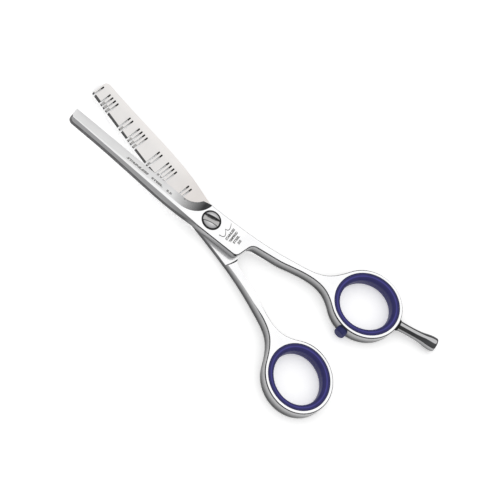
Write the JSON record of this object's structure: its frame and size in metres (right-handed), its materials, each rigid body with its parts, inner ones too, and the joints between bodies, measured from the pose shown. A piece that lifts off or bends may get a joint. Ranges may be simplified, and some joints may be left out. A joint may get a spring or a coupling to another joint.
{
  "type": "thinning shears",
  "caption": "Thinning shears with a plain blade over a toothed blade, coin-slot pivot screw, two lined finger loops, a bumper and a screwed-in finger rest.",
  "frame": {"origin": "on the pivot axis, in the plane that the shears lie on", "axes": "+X from the pivot towards the finger loops along the line that halves the opening, +Z out of the slotted end of the pivot screw"},
  "size_m": [0.152, 0.068, 0.0065],
  "materials": {
    "polished_steel": "mirror polished",
    "satin_steel": "fine satin",
    "screw_steel": "polished, turned",
    "bearing_plastic": "plain",
    "violet_plastic": "satin moulded",
    "bumper_plastic": "satin moulded",
    "black_rubber": "matt"
  },
  "bodies": {
    "thinning_half": {"thinning_blade": "satin_steel", "thumb_liner": "violet_plastic"},
    "cutting_half": {"cutting_blade": "polished_steel", "pivot_bush": "bearing_plastic", "glide_washer": "bearing_plastic", "finger_liner": "violet_plastic", "bumper": "bumper_plastic", "rest_gasket": "black_rubber", "finger_rest": "polished_steel"},
    "tension_screw": {"pivot_screw": "screw_steel"}
  },
  "joints": [
    {"name": "blade_pivot", "type": "hinge", "parent": "thinning_half", "child": "cutting_half", "pos_m": [0, 0, 0.00275], "axis": [0, 0, 1], "range_deg": [-10.9, 70]},
    {"name": "tension_turn", "type": "hinge", "parent": "thinning_half", "child": "tension_screw", "pos_m": [0, 0, 0.00275], "axis": [0, 0, 1], "range_deg": [-45, 45]}
  ]
}
